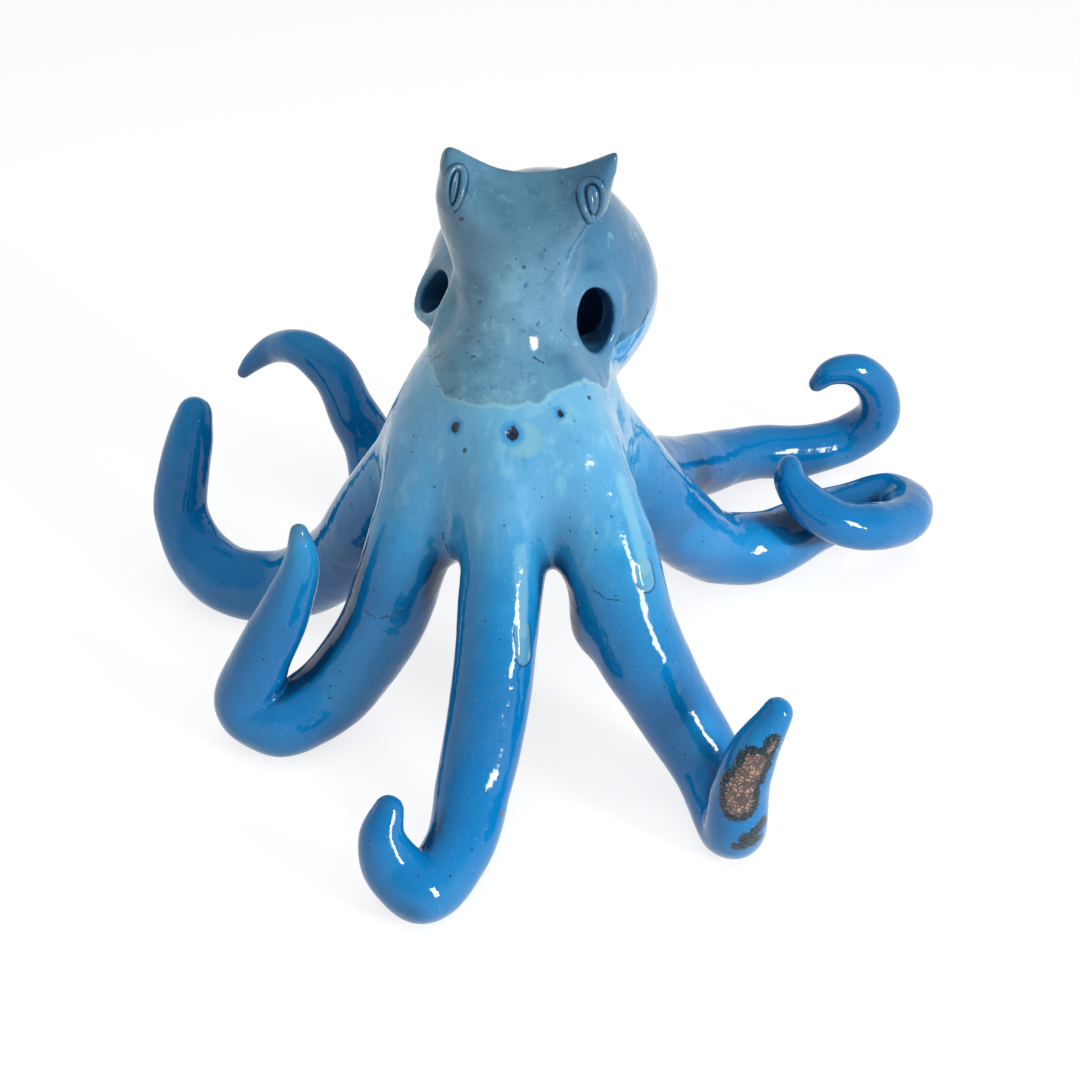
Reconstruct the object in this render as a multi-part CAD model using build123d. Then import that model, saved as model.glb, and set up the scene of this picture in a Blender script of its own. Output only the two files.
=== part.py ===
# Octopus figurine in glazed ceramic, standing on eight arms.
# The face looks along -Y and +Z is up. Left (-X) and right (+X) are as seen from the front.
# All sizes are in millimetres. A table whose name ends in "shares" holds fractions of the sizes named beside it.
import os
from math import cos, radians, sin

import numpy as np
from build123d import *

# Driving dimensions of the hub: a neck that flares into a skirt, with the arms' shoulders on it
shoulder_height = 91
underside_drop = 33
neck_rise = 59
skirt_width = 75
skirt_depth = 73
neck_width = 37
neck_depth = 33.5
neck_set_back = 7.8

# Driving dimensions of the head, which stands on the neck
head_tall = 33
head_width = 44.5
head_depth = 30
head_lean = 5.5
brow_span = 42.4
brow_rise = 7
brow_ridge_set_forward = 2
brow_root_width = 15
brow_root_drop = 13
brow_tip_width = 2
face_slope = 28
crown_slope = 50

# Driving dimensions of the eyes, which are set up the head from the neck
eye_rise = 19
eye_width = 12.6
eye_tall = 15.6
eye_band = 2.6
eye_groove = 0.6
ring_stand = 1.5
pupil_stand = 1
eye_headings = {"left": -60, "right": 52}

# Driving dimensions of the mantle, a hollow egg whose tail points back and down
mantle_width = 72
mantle_nose = 44
mantle_tail = 43
mantle_wall = 5.5
mantle_set_back = 46
mantle_set_aside = 3
mantle_rise = 27
mantle_tilt = 46

# Driving dimensions of the arms
foot_flat = 0.5
section_spacing = 5

# Heights above the floor
underside_height = shoulder_height - underside_drop
neck_top_height = shoulder_height + neck_rise
brow_height = neck_top_height + head_tall


# Curves and sections that several pieces share
def smooth_path(points, steps):
    """Centripetal Catmull-Rom curve through points that each hold x, y, z and a radius."""
    points = np.asarray(points, float)
    start = 2 * points[0] - points[1]
    end = 2 * points[-1] - points[-2]
    ring = np.vstack([start, points, end])
    curve = []
    for a, b, c, d in zip(ring, ring[1:], ring[2:], ring[3:]):
        t1 = np.linalg.norm((b - a)[:3]) ** 0.5
        t2 = t1 + np.linalg.norm((c - b)[:3]) ** 0.5
        t3 = t2 + np.linalg.norm((d - c)[:3]) ** 0.5
        for t in np.linspace(t1, t2, steps, endpoint=False):
            ab = (t1 - t) / t1 * a + t / t1 * b
            bc = (t2 - t) / (t2 - t1) * b + (t - t1) / (t2 - t1) * c
            cd = (t3 - t) / (t3 - t2) * c + (t - t2) / (t3 - t2) * d
            abc = (t2 - t) / t2 * ab + t / t2 * bc
            bcd = (t3 - t) / (t3 - t1) * bc + (t - t1) / (t3 - t1) * cd
            curve.append((t2 - t) / (t2 - t1) * abc + (t - t1) / (t2 - t1) * bcd)
    curve.append(points[-1])
    return np.array(curve)


def tube(curve, first, last, round_tip):
    """Solid through circles between two rows of the curve. A round tip ends in half a ball."""
    runs = np.linalg.norm(np.diff(curve[:, :3], axis=0), axis=1)
    travel = np.concatenate([[0], np.cumsum(runs)])
    count = max(4, round((travel[last] - travel[first]) / section_spacing))
    stations = np.linspace(travel[first], travel[last], count + 1)
    rings = np.array([np.interp(stations, travel, column) for column in curve.T]).T
    slopes = np.gradient(curve[:, :3], axis=0)
    headings = np.array([np.interp(stations, travel, column) for column in slopes.T]).T
    headings /= np.linalg.norm(headings, axis=1)[:, None]
    # The circles' start points run along the top of the tube, clear of the floor
    across = np.array((0, 0, 1))
    wires = []
    for ring, heading in zip(rings, headings):
        across = across - np.dot(across, heading) * heading
        across = across / np.linalg.norm(across)
        plane = Plane(origin=tuple(ring[:3]), x_dir=tuple(across), z_dir=tuple(heading))
        wires.append(Wire.make_circle(ring[3], plane))
    solid = Part() + Solid.make_loft(wires)
    if round_tip:
        solid += plane * Sphere(ring[3], arc_size1=0)
    return solid


def oval(height, aside, back, width, depth):
    """Level elliptical face centred at (aside, back)."""
    return Pos(aside, back, height) * Ellipse(width / 2, depth / 2)


# Arms
# Each row of a path is (out, aside, fall, curl, girth):
# out and aside are shares of the reach, out along the arm's heading and aside to its left,
# fall is a share of the shoulder height, curl a share of the curl height,
# and girth a share of the root diameter. The clay's underside stands on the floor where fall and curl are zero.
# The joint is where the arm was luted to the body, counted in rows of the path.
arms = {
    "arm_front": {
        "heading": 262,
        "reach": 106,
        "curl_height": 26,
        "root_diameter": 25,
        "joint": 2.5,
        "path_shares": (
            (0.11, 0.025, 1.05, 0, 1),
            (0.25, 0.055, 0.85, 0, 1),
            (0.34, 0.07, 0.61, 0, 0.98),
            (0.525, 0.085, 0.32, 0, 0.92),
            (0.67, 0.08, 0.1, 0, 0.87),
            (0.845, 0.085, 0.01, 0, 0.78),
            (0.995, 0.035, 0, 0, 0.72),
            (0.985, -0.045, 0, 0.23, 0.66),
            (0.97, -0.08, 0, 0.67, 0.51),
            (0.93, -0.07, 0, 1, 0.35),
        ),
    },
    "arm_front_right": {
        "heading": 313,
        "reach": 106,
        "curl_height": 47,
        "root_diameter": 28,
        "joint": 2.35,
        "path_shares": (
            (0.13, 0.03, 1.04, 0, 0.96),
            (0.285, 0.03, 0.85, 0, 0.99),
            (0.425, 0.03, 0.62, 0, 1),
            (0.555, 0.04, 0.37, 0, 0.94),
            (0.655, 0.095, 0.18, 0, 0.85),
            (0.775, 0.115, 0.05, 0, 0.76),
            (0.955, 0.05, 0, 0, 0.66),
            (0.98, 0.04, 0, 0.38, 0.58),
            (0.99, 0.07, 0, 0.72, 0.5),
            (1.0, 0.13, 0, 1, 0.32),
        ),
    },
    "arm_right": {
        "heading": 45,
        "reach": 161,
        "curl_height": 41,
        "root_diameter": 27,
        "joint": 3.15,
        "path_shares": (
            (0.095, -0.01, 1, 0, 1),
            (0.205, -0.015, 0.73, 0, 1),
            (0.305, -0.012, 0.49, 0, 0.99),
            (0.41, -0.012, 0.25, 0, 0.98),
            (0.54, -0.018, 0.035, 0, 0.95),
            (0.645, -0.052, 0, 0, 0.9),
            (0.79, -0.048, 0, 0.035, 0.79),
            (0.9, -0.06, 0, 0.05, 0.71),
            (0.985, -0.08, 0, 0.08, 0.68),
            (0.98, -0.145, 0, 0.15, 0.65),
            (0.905, -0.205, 0, 0.27, 0.63),
            (0.81, -0.215, 0, 0.37, 0.61),
            (0.72, -0.185, 0, 0.51, 0.56),
            (0.685, -0.13, 0, 0.65, 0.52),
            (0.67, -0.085, 0, 0.84, 0.42),
            (0.68, -0.07, 0, 0.98, 0.3),
        ),
    },
    "arm_back_right": {
        "heading": 68,
        "reach": 174,
        "curl_height": 43,
        "root_diameter": 26,
        "joint": 3.15,
        "path_shares": (
            (0.075, -0.005, 1.01, 0, 1),
            (0.18, -0.02, 0.77, 0, 1),
            (0.3, -0.02, 0.5, 0, 0.97),
            (0.42, -0.025, 0.31, 0, 0.92),
            (0.555, -0.03, 0.17, 0, 0.94),
            (0.71, -0.055, 0.06, 0, 0.87),
            (0.85, -0.115, 0.01, 0, 0.79),
            (0.93, -0.205, 0, 0, 0.75),
            (0.99, -0.275, 0, 0.1, 0.69),
            (1, -0.33, 0, 0.38, 0.63),
            (0.98, -0.33, 0, 0.7, 0.55),
            (0.94, -0.29, 0, 0.96, 0.47),
            (0.91, -0.25, 0, 1, 0.35),
            (0.895, -0.225, 0, 0.93, 0.2),
        ),
    },
    "arm_back": {
        "heading": 100,
        "reach": 140,
        "curl_height": 46,
        "root_diameter": 26,
        "joint": 2.4,
        "path_shares": (
            (0.085, -0.015, 1.01, 0, 1),
            (0.2, -0.02, 0.81, 0, 1),
            (0.33, -0.02, 0.53, 0, 0.95),
            (0.46, -0.015, 0.27, 0, 0.91),
            (0.605, -0.015, 0.09, 0, 0.86),
            (0.755, -0.01, 0.01, 0, 0.8),
            (0.875, -0.01, 0, 0.03, 0.74),
            (0.97, -0.01, 0, 0.3, 0.67),
            (1, -0.015, 0, 0.63, 0.58),
            (0.945, -0.03, 0, 0.9, 0.48),
            (0.87, -0.05, 0, 1, 0.35),
            (0.805, -0.07, 0, 0.95, 0.22),
        ),
    },
    "arm_back_left": {
        "heading": 134,
        "reach": 161,
        "curl_height": 51,
        "root_diameter": 26,
        "joint": 2.35,
        "path_shares": (
            (0.06, -0.025, 1.01, 0, 1),
            (0.165, -0.025, 0.8, 0, 1),
            (0.29, -0.03, 0.53, 0, 0.95),
            (0.425, -0.05, 0.27, 0, 0.89),
            (0.555, -0.07, 0.09, 0, 0.83),
            (0.645, -0.095, 0, 0, 0.78),
            (0.715, -0.125, 0, 0.27, 0.74),
            (0.755, -0.105, 0, 0.58, 0.68),
            (0.8, -0.09, 0, 0.83, 0.62),
            (0.86, -0.055, 0, 1, 0.52),
            (0.945, -0.025, 0, 0.95, 0.4),
            (0.985, 0.01, 0, 0.85, 0.3),
            (1, 0.03, 0, 0.79, 0.18),
        ),
    },
    "arm_left": {
        "heading": 166,
        "reach": 128,
        "curl_height": 54.5,
        "root_diameter": 26.4,
        "joint": 2.3,
        "path_shares": (
            (0.07, -0.015, 1.01, 0, 0.98),
            (0.19, 0.015, 0.81, 0, 1),
            (0.335, 0.01, 0.51, 0, 0.98),
            (0.495, -0.02, 0.18, 0, 0.96),
            (0.665, -0.035, 0, 0, 0.92),
            (0.8, -0.005, 0, 0.01, 0.86),
            (0.92, -0.04, 0, 0.11, 0.79),
            (0.978, -0.075, 0, 0.34, 0.71),
            (0.985, -0.12, 0, 0.6, 0.65),
            (0.98, -0.165, 0, 0.83, 0.57),
            (0.975, -0.19, 0, 0.98, 0.45),
        ),
    },
    "arm_front_left": {
        "heading": 212,
        "reach": 86,
        "curl_height": 74,
        "root_diameter": 26,
        "joint": 2.35,
        "path_shares": (
            (0.085, 0, 1.03, 0, 1),
            (0.265, 0.018, 0.85, 0, 1),
            (0.405, 0.053, 0.59, 0, 1),
            (0.535, 0.03, 0.26, 0, 0.97),
            (0.725, 0.005, 0.04, 0, 0.93),
            (0.905, 0.01, 0, 0, 0.87),
            (0.995, -0.065, 0, 0.06, 0.82),
            (0.95, -0.055, 0, 0.3, 0.7),
            (0.835, -0.02, 0, 0.59, 0.58),
            (0.78, -0.005, 0, 0.83, 0.4),
            (0.775, -0.01, 0, 1, 0.23),
        ),
    },
}
path_steps = 16


def arm_curve(arm):
    """The arm's centre line with its radius, from inside the hub to the tip."""
    heading = radians(arm["heading"])
    points = []
    for out, aside, fall, curl, girth in arm["path_shares"]:
        along = out * arm["reach"]
        across = aside * arm["reach"]
        radius = girth * arm["root_diameter"] / 2
        x = along * cos(heading) - across * sin(heading)
        y = along * sin(heading) + across * cos(heading)
        z = radius - foot_flat + fall * shoulder_height + curl * arm["curl_height"]
        points.append((x, y, z, radius))
    return smooth_path(points, path_steps)


# Half-space under the floor, which grinds a bare flat on each foot
figure_reach = max(arm["reach"] for arm in arms.values())
floor_waste = Box(4 * figure_reach, 4 * figure_reach, figure_reach, align=(Align.CENTER, Align.CENTER, Align.MAX))

pieces = {}
roots = []
for name, arm in arms.items():
    curve = arm_curve(arm)
    joint_row = round(arm["joint"] * path_steps)
    roots.append(tube(curve, 0, joint_row, round_tip=False))
    pieces[name] = tube(curve, joint_row, len(curve) - 1, round_tip=True) - floor_waste

# Hub
# Rows are (height, aside, back, width, depth): height a share of the way from the underside to the neck's top,
# aside and width shares of the skirt's width, back and depth shares of its depth.
hub_shares = (
    (0, 0, 0.027, 0.507, 0.493),
    (0.065, 0, 0.007, 0.8, 0.795),
    (0.15, 0, 0, 0.96, 0.97),
    (0.26, 0, 0, 1, 1),
    (0.35, -0.01, 0.01, 0.97, 0.96),
    (0.46, -0.02, 0.02, 0.89, 0.875),
    (0.565, -0.03, 0.035, 0.78, 0.775),
    (0.675, -0.03, 0.05, 0.635, 0.685),
    (0.8, 0, 0.085, 0.48, 0.56),
    (0.91, 0, 0.095, 0.445, 0.495),
)
hub_sections = []
for height, aside, back, width, depth in hub_shares:
    level = underside_height + height * (neck_top_height - underside_height)
    hub_sections.append(
        oval(level, aside * skirt_width, back * skirt_depth, width * skirt_width, depth * skirt_depth)
    )
neck_section = oval(neck_top_height, 0, neck_set_back, neck_width, neck_depth)
body = loft(hub_sections + [neck_section])
for root in roots:
    body += root
pieces["body"] = body

# Lump of spare clay left under the root of the front right arm
lump_radius = 7.5
lump_set_shares = (0.43, -0.02, 0.57)
lump_arm = arms["arm_front_right"]
lump_heading = radians(lump_arm["heading"])
lump_along = lump_set_shares[0] * lump_arm["reach"]
lump_across = lump_set_shares[1] * lump_arm["reach"]
lump_place = Pos(
    lump_along * cos(lump_heading) - lump_across * sin(lump_heading),
    lump_along * sin(lump_heading) + lump_across * cos(lump_heading),
    lump_set_shares[2] * shoulder_height,
)
pieces["arm_front_right"] += lump_place * Sphere(lump_radius) - body

# Head
# Rows are (height, lean, set_back, width, depth): height a share of the way from the neck's top to the brows,
# lean a share of the head's lean, set_back a share of the neck's, width and depth shares of the head's.
head_shares = (
    (0.25, 0.2, 0.83, 0.945, 1.07),
    (0.5, 0.45, 0.77, 1, 1.03),
    (0.75, 0.75, 0.77, 0.99, 1),
    (1, 1, 0.77, 1, 0.93),
)


def head_form(skin):
    """The face block, grown sideways by a skin."""
    sections = [oval(neck_top_height, 0, neck_set_back, neck_width + 2 * skin, neck_depth + 2 * skin)]
    for height, lean, set_back, width, depth in head_shares:
        level = neck_top_height + height * head_tall
        section_width = width * head_width + 2 * skin
        section_depth = depth * head_depth + 2 * skin
        sections.append(oval(level, lean * head_lean, set_back * neck_set_back, section_width, section_depth))
    return loft(sections)


saddle_radius = ((brow_span / 2) ** 2 + brow_rise**2) / (2 * brow_rise)
saddle_place = Pos(head_lean, -brow_ridge_set_forward, brow_height - brow_rise) * Rot(face_slope, 0, 0)
saddle = saddle_place * Pos(0, 0, saddle_radius) * Rot(90, 0, 0) * Cylinder(saddle_radius, 4 * head_depth)
crown_waste = Box(4 * head_width, 4 * head_depth, 4 * head_depth, align=(Align.CENTER, Align.MIN, Align.MIN))
crown_place = Pos(head_lean, -brow_ridge_set_forward, brow_height) * Rot(-crown_slope, 0, 0)
face_block = head_form(0)
# Each brow is a horn of clay pulled out of the head's side to a blunt point
for side in (-1, 1):
    root_aside = head_lean + side * (head_width - brow_root_width) / 2
    tip_aside = head_lean + side * (brow_span - brow_tip_width) / 2
    horn = (
        (root_aside, 0, brow_height - brow_root_drop, brow_root_width / 2),
        (tip_aside, -brow_ridge_set_forward, brow_height - brow_tip_width / 2, brow_tip_width / 2),
    )
    face_block += tube(smooth_path(horn, path_steps), 0, path_steps, round_tip=True)
head = face_block - saddle - crown_place * crown_waste
pieces["head"] = head

# Eyes: an oval band with an oval pad inside it on each side of the face, both following the face's surface
eye_centre = Vector(eye_rise / head_tall * head_lean, neck_set_back, neck_top_height + eye_rise)
ring_skin = head_form(ring_stand)
pupil_skin = head_form(pupil_stand)
pad_width = eye_width - 2 * eye_band - 2 * eye_groove
pad_tall = eye_tall - 2 * eye_band - 2 * eye_groove
for side, heading in eye_headings.items():
    outward = Vector(sin(radians(heading)), -cos(radians(heading)), 0)
    sideways = Vector(cos(radians(heading)), sin(radians(heading)), 0)
    eye_plane = Plane(origin=eye_centre, x_dir=sideways, z_dir=outward)
    band = Ellipse(eye_width / 2, eye_tall / 2) - Ellipse(eye_width / 2 - eye_band, eye_tall / 2 - eye_band)
    pad = Ellipse(pad_width / 2, pad_tall / 2)
    band_prism = extrude(eye_plane * band, head_width)
    pad_prism = extrude(eye_plane * pad, head_width)
    pieces[f"eye_ring_{side}"] = (band_prism & ring_skin) - face_block
    pieces[f"pupil_{side}"] = (pad_prism & pupil_skin) - face_block


# Mantle
# The egg's outline is drawn through points at these angles. Each end keeps a flat too small to feel.
egg_angles = range(-85, 86, 10)


def egg(skin):
    """The mantle's outer form, shrunk by a skin. The nose points forward and up, the tail back and down."""
    outline = []
    for angle in egg_angles:
        length = mantle_nose if angle > 0 else mantle_tail
        half_width = (mantle_width / 2 - skin) * cos(radians(angle))
        outline.append(Vector(half_width, 0, (length - skin) * sin(radians(angle))))
    wall = Spline(outline)
    ends = Polyline(outline[-1], (0, 0, outline[-1].Z), (0, 0, outline[0].Z), outline[0])
    return mantle_place * revolve(make_face([wall, ends]), Axis.Z)


mantle_centre = Vector(mantle_set_aside, mantle_set_back, shoulder_height + mantle_rise)
mantle_place = Pos(mantle_centre) * Rot(mantle_tilt, 0, 0)
mantle_outside = egg(0)

# Funnels: a tapering oval spout on each side, whose bore opens into the mantle
# heading is turned from straight ahead, climb is up from level, stand is what shows outside the mantle.
funnels = {
    "left": {
        "seat_heading": -46,
        "seat_climb": 8,
        "heading": -62,
        "climb": 30,
        "stand": 6.5,
        "root_width": 15,
        "root_tall": 18,
        "lip_width": 18,
        "lip_tall": 20,
        "wall": 2.4,
    },
    "right": {
        "seat_heading": 30,
        "seat_climb": 6,
        "heading": 36,
        "climb": 8,
        "stand": 4.5,
        "root_width": 21,
        "root_tall": 30,
        "lip_width": 20,
        "lip_tall": 28,
        "wall": 2.8,
    },
}
funnel_overrun = 2


def direction(heading, climb):
    """Unit vector turned from straight ahead and raised from level."""
    level = cos(radians(climb))
    return Vector(level * sin(radians(heading)), -level * cos(radians(heading)), sin(radians(climb)))


def spout(funnel, skin, overrun):
    """Oval taper from inside the mantle's wall to the lip, shrunk by a skin and longer by an overrun."""
    seat = mantle_centre + direction(funnel["seat_heading"], funnel["seat_climb"]) * (mantle_width / 2)
    axis = direction(funnel["heading"], funnel["climb"])
    sideways = Vector(-axis.Y, axis.X, 0)
    inner = Plane(origin=seat - axis * (2 * mantle_wall), x_dir=sideways, z_dir=axis)
    lip = Plane(origin=seat + axis * (funnel["stand"] + overrun), x_dir=sideways, z_dir=axis)
    root_oval = inner * Ellipse(funnel["root_width"] / 2 - skin, funnel["root_tall"] / 2 - skin)
    lip_oval = lip * Ellipse(funnel["lip_width"] / 2 - skin, funnel["lip_tall"] / 2 - skin)
    return loft([root_oval, lip_oval])


mantle = mantle_outside - egg(mantle_wall)
for side, funnel in funnels.items():
    bore = spout(funnel, funnel["wall"], funnel_overrun)
    mantle -= bore
    pieces[f"funnel_{side}"] = spout(funnel, 0, 0) - bore - mantle_outside - body - face_block
pieces["mantle"] = mantle - body - face_block

# The origin is on the floor, under the middle of the figure
spread = Compound(children=[Compound(piece.wrapped) for piece in pieces.values()]).bounding_box()
to_origin = Pos(-spread.center().X, -spread.center().Y, 0)

os.makedirs("parts", exist_ok=True)
for name, piece in pieces.items():
    export_step(to_origin * piece, f"parts/{name}.step")
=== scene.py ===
from math import cos, pi, radians, sin

import bpy
import numpy as np
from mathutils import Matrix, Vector


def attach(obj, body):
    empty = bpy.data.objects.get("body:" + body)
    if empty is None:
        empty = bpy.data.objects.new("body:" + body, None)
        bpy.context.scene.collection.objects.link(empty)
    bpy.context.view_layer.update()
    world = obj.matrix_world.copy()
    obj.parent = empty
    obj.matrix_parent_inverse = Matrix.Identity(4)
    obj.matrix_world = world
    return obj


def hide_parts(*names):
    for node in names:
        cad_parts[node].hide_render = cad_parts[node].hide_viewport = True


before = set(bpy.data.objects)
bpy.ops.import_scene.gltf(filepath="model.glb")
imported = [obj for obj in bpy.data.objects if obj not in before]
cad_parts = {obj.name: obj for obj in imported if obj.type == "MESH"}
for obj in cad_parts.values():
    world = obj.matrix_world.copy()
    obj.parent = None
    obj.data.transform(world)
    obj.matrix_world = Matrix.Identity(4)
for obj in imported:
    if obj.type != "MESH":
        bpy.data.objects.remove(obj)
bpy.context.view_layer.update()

# Camera
# The figure is seen from just right of straight ahead and well above, from about half a metre away, as
# someone would photograph it standing over a table.
scene = bpy.context.scene
camera = bpy.data.objects.new("camera", bpy.data.cameras.new("camera"))
scene.collection.objects.link(camera)
scene.camera = camera
camera_azimuth = radians(7)
camera_climb = radians(35)
camera_distance = 0.55
camera_target = Vector((0.0044, -0.0182, 0.055))
camera_back = Vector((
    sin(camera_azimuth) * cos(camera_climb),
    -cos(camera_azimuth) * cos(camera_climb),
    sin(camera_climb),
))
camera.location = camera_target + camera_distance * camera_back
camera.rotation_mode = "QUATERNION"
camera.rotation_quaternion = (-camera_back).to_track_quat("-Z", "Y")
camera.data.sensor_width = 36
camera.data.lens = 59.7
scene.view_settings.view_transform = "Standard"

# Hub: neck and skirt
# A pulled cone of white stoneware that flares into a skirt, the core to which every other piece is luted.
# The wet clay is kept as a field of distances in millimetres, so that luted pieces can be smoothed together.

# The clay's places are measured from the neck's axis. The middle of the whole figure lies this far from it
axis_to_middle = (4.31, 18.42)
grain = 1.0
field_low = np.array((-134.0, -118.0, -3.0))
field_high = np.array((142.0, 156.0, 188.0))
field_shape = tuple(int(n) for n in (field_high - field_low) / grain)
far_away = 60.0
clay = np.full(field_shape, far_away, np.float32)
owner = np.zeros(field_shape, np.uint8)
owners = ["body"]


def block(low, high):
    """The field's cells between two corners, as slices and as the x, y and z of their centres."""
    first = np.clip(np.floor((np.array(low) - field_low) / grain).astype(int), 0, field_shape)
    last = np.clip(np.ceil((np.array(high) - field_low) / grain).astype(int) + 1, 0, field_shape)
    place = tuple(slice(a, b) for a, b in zip(first, last))
    lines = [
        (field_low[i] + grain * np.arange(first[i], last[i])).astype(np.float32) for i in range(3)
    ]
    return place, np.meshgrid(*lines, indexing="ij", sparse=True)


def soft_union(one, other, radius):
    """Two fields joined with a fillet of about the given radius."""
    bite = np.maximum(radius - np.abs(one - other), 0) / radius
    return np.minimum(one, other) - bite * bite * radius / 4


def soft_cut(one, waste, radius):
    """One field less another, with the new edge rounded."""
    return -soft_union(-one, waste, radius)


def lute(piece, place, name, radius):
    """Joins a piece to the clay and marks the cells where it is the nearer one as its own."""
    if isinstance(name, str):
        if name not in owners:
            owners.append(name)
        name = owners.index(name)
    mine = piece < clay[place]
    owner[place] = np.where(mine, name, owner[place])
    clay[place] = soft_union(clay[place], piece, radius)


def true_distance(form):
    """A field rescaled to read as a distance near its surface."""
    steepness = np.sqrt(sum(slope**2 for slope in np.gradient(form, grain)))
    return form / np.maximum(steepness, 0.35)


def smooth_path(points, steps):
    """Centripetal Catmull-Rom curve through rows of x, y, z and further values."""
    points = np.asarray(points, float)
    ring = np.vstack([2 * points[0] - points[1], points, 2 * points[-1] - points[-2]])
    curve = []
    for a, b, c, d in zip(ring, ring[1:], ring[2:], ring[3:]):
        t1 = np.linalg.norm((b - a)[:3]) ** 0.5
        t2 = t1 + np.linalg.norm((c - b)[:3]) ** 0.5
        t3 = t2 + np.linalg.norm((d - c)[:3]) ** 0.5
        for t in np.linspace(t1, t2, steps, endpoint=False):
            ab = (t1 - t) / t1 * a + t / t1 * b
            bc = (t2 - t) / (t2 - t1) * b + (t - t1) / (t2 - t1) * c
            cd = (t3 - t) / (t3 - t2) * c + (t - t2) / (t3 - t2) * d
            abc = (t2 - t) / t2 * ab + t / t2 * bc
            bcd = (t3 - t) / (t3 - t1) * bc + (t - t1) / (t3 - t1) * cd
            curve.append((t2 - t) / (t2 - t1) * abc + (t - t1) / (t2 - t1) * bcd)
    return np.array(curve + [points[-1]])


def column(rows, x, y, z):
    """Upright form with oval sections: each row is a height, the place of its centre and two half widths."""
    fine = smooth_path(rows, 6)
    middle_x, middle_y, half_x, half_y = (
        np.interp(z, fine[:, 0], fine[:, i]).astype(np.float32) for i in (1, 2, 3, 4)
    )
    oval = np.sqrt(((x - middle_x) / half_x) ** 2 + ((y - middle_y) / half_y) ** 2)
    return true_distance((oval - 1) * np.minimum(half_x, half_y))


# Rows are the height, the centre to the right and to the back, and the half width and half depth
hub_rows = (
    (58, 0, 2, 18, 17),
    (64, 0, 0.5, 29, 28.5),
    (72, 0, 0, 34.5, 34.5),
    (82, -0.2, 0, 35.5, 35),
    (90, -0.8, 0.8, 35, 33.5),
    (100, -1.6, 1.6, 32, 30.5),
    (110, -2.4, 2.5, 27.2, 26.5),
    (120, -2.2, 3.7, 21.4, 23.5),
    (131.6, 0, 6.2, 17, 20.1),
    (141.7, 0, 7, 16.5, 18),
    (150, 0, 7.8, 18.5, 16.8),
)
# The head carries on from the neck, with its face drawn a little to the right as it rises
head_rows = (
    (158, 1.1, 6.5, 21, 16),
    (166, 2.5, 6, 22.2, 15.4),
    (174, 4.1, 6, 22.4, 14.6),
    (183, 5.5, 6, 22.4, 13.6),
)
neck_top = 150
skirt_bottom = 58
skirt_edge_rounding = 8
place, (x, y, z) = block((-58, -56, 44), (58, 58, neck_top + 50))
hub = column(hub_rows + head_rows, x, y, z)
hub = soft_cut(hub, z - skirt_bottom + 0 * hub, skirt_edge_rounding)

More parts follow.
